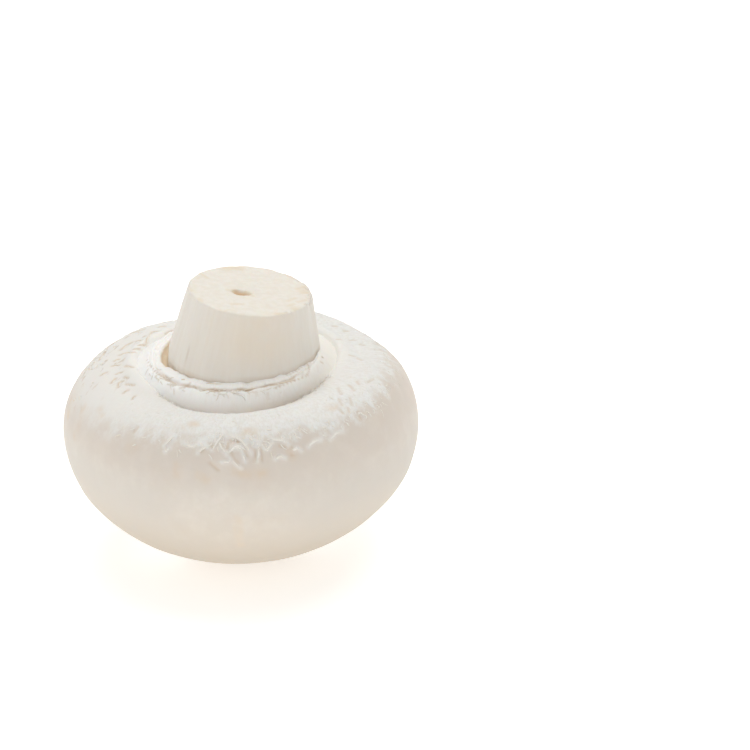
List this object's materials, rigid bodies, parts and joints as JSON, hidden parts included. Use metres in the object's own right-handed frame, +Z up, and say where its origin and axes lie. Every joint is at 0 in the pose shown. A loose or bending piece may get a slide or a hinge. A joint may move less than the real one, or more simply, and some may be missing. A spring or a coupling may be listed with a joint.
{
  "type": "button mushroom",
  "caption": "White button mushroom with a closed veil and a cut stem, resting upside down on the crown of its cap.",
  "frame": {"origin": "on the flat spot of the crown that the mushroom rests on, on the cap's own axis", "axes": "+Z up along the cap's axis, from the crown towards the cut stem; -Y towards the viewer of the picture; the gap between the stem and the veil is on the -X side"},
  "size_m": [0.0478, 0.0476, 0.0374],
  "materials": {
    "mushroom_flesh": "matt, soft creamy white with faint tan blotches"
  },
  "bodies": {
    "root": {"button_mushroom": "mushroom_flesh"}
  },
  "joints": []
}
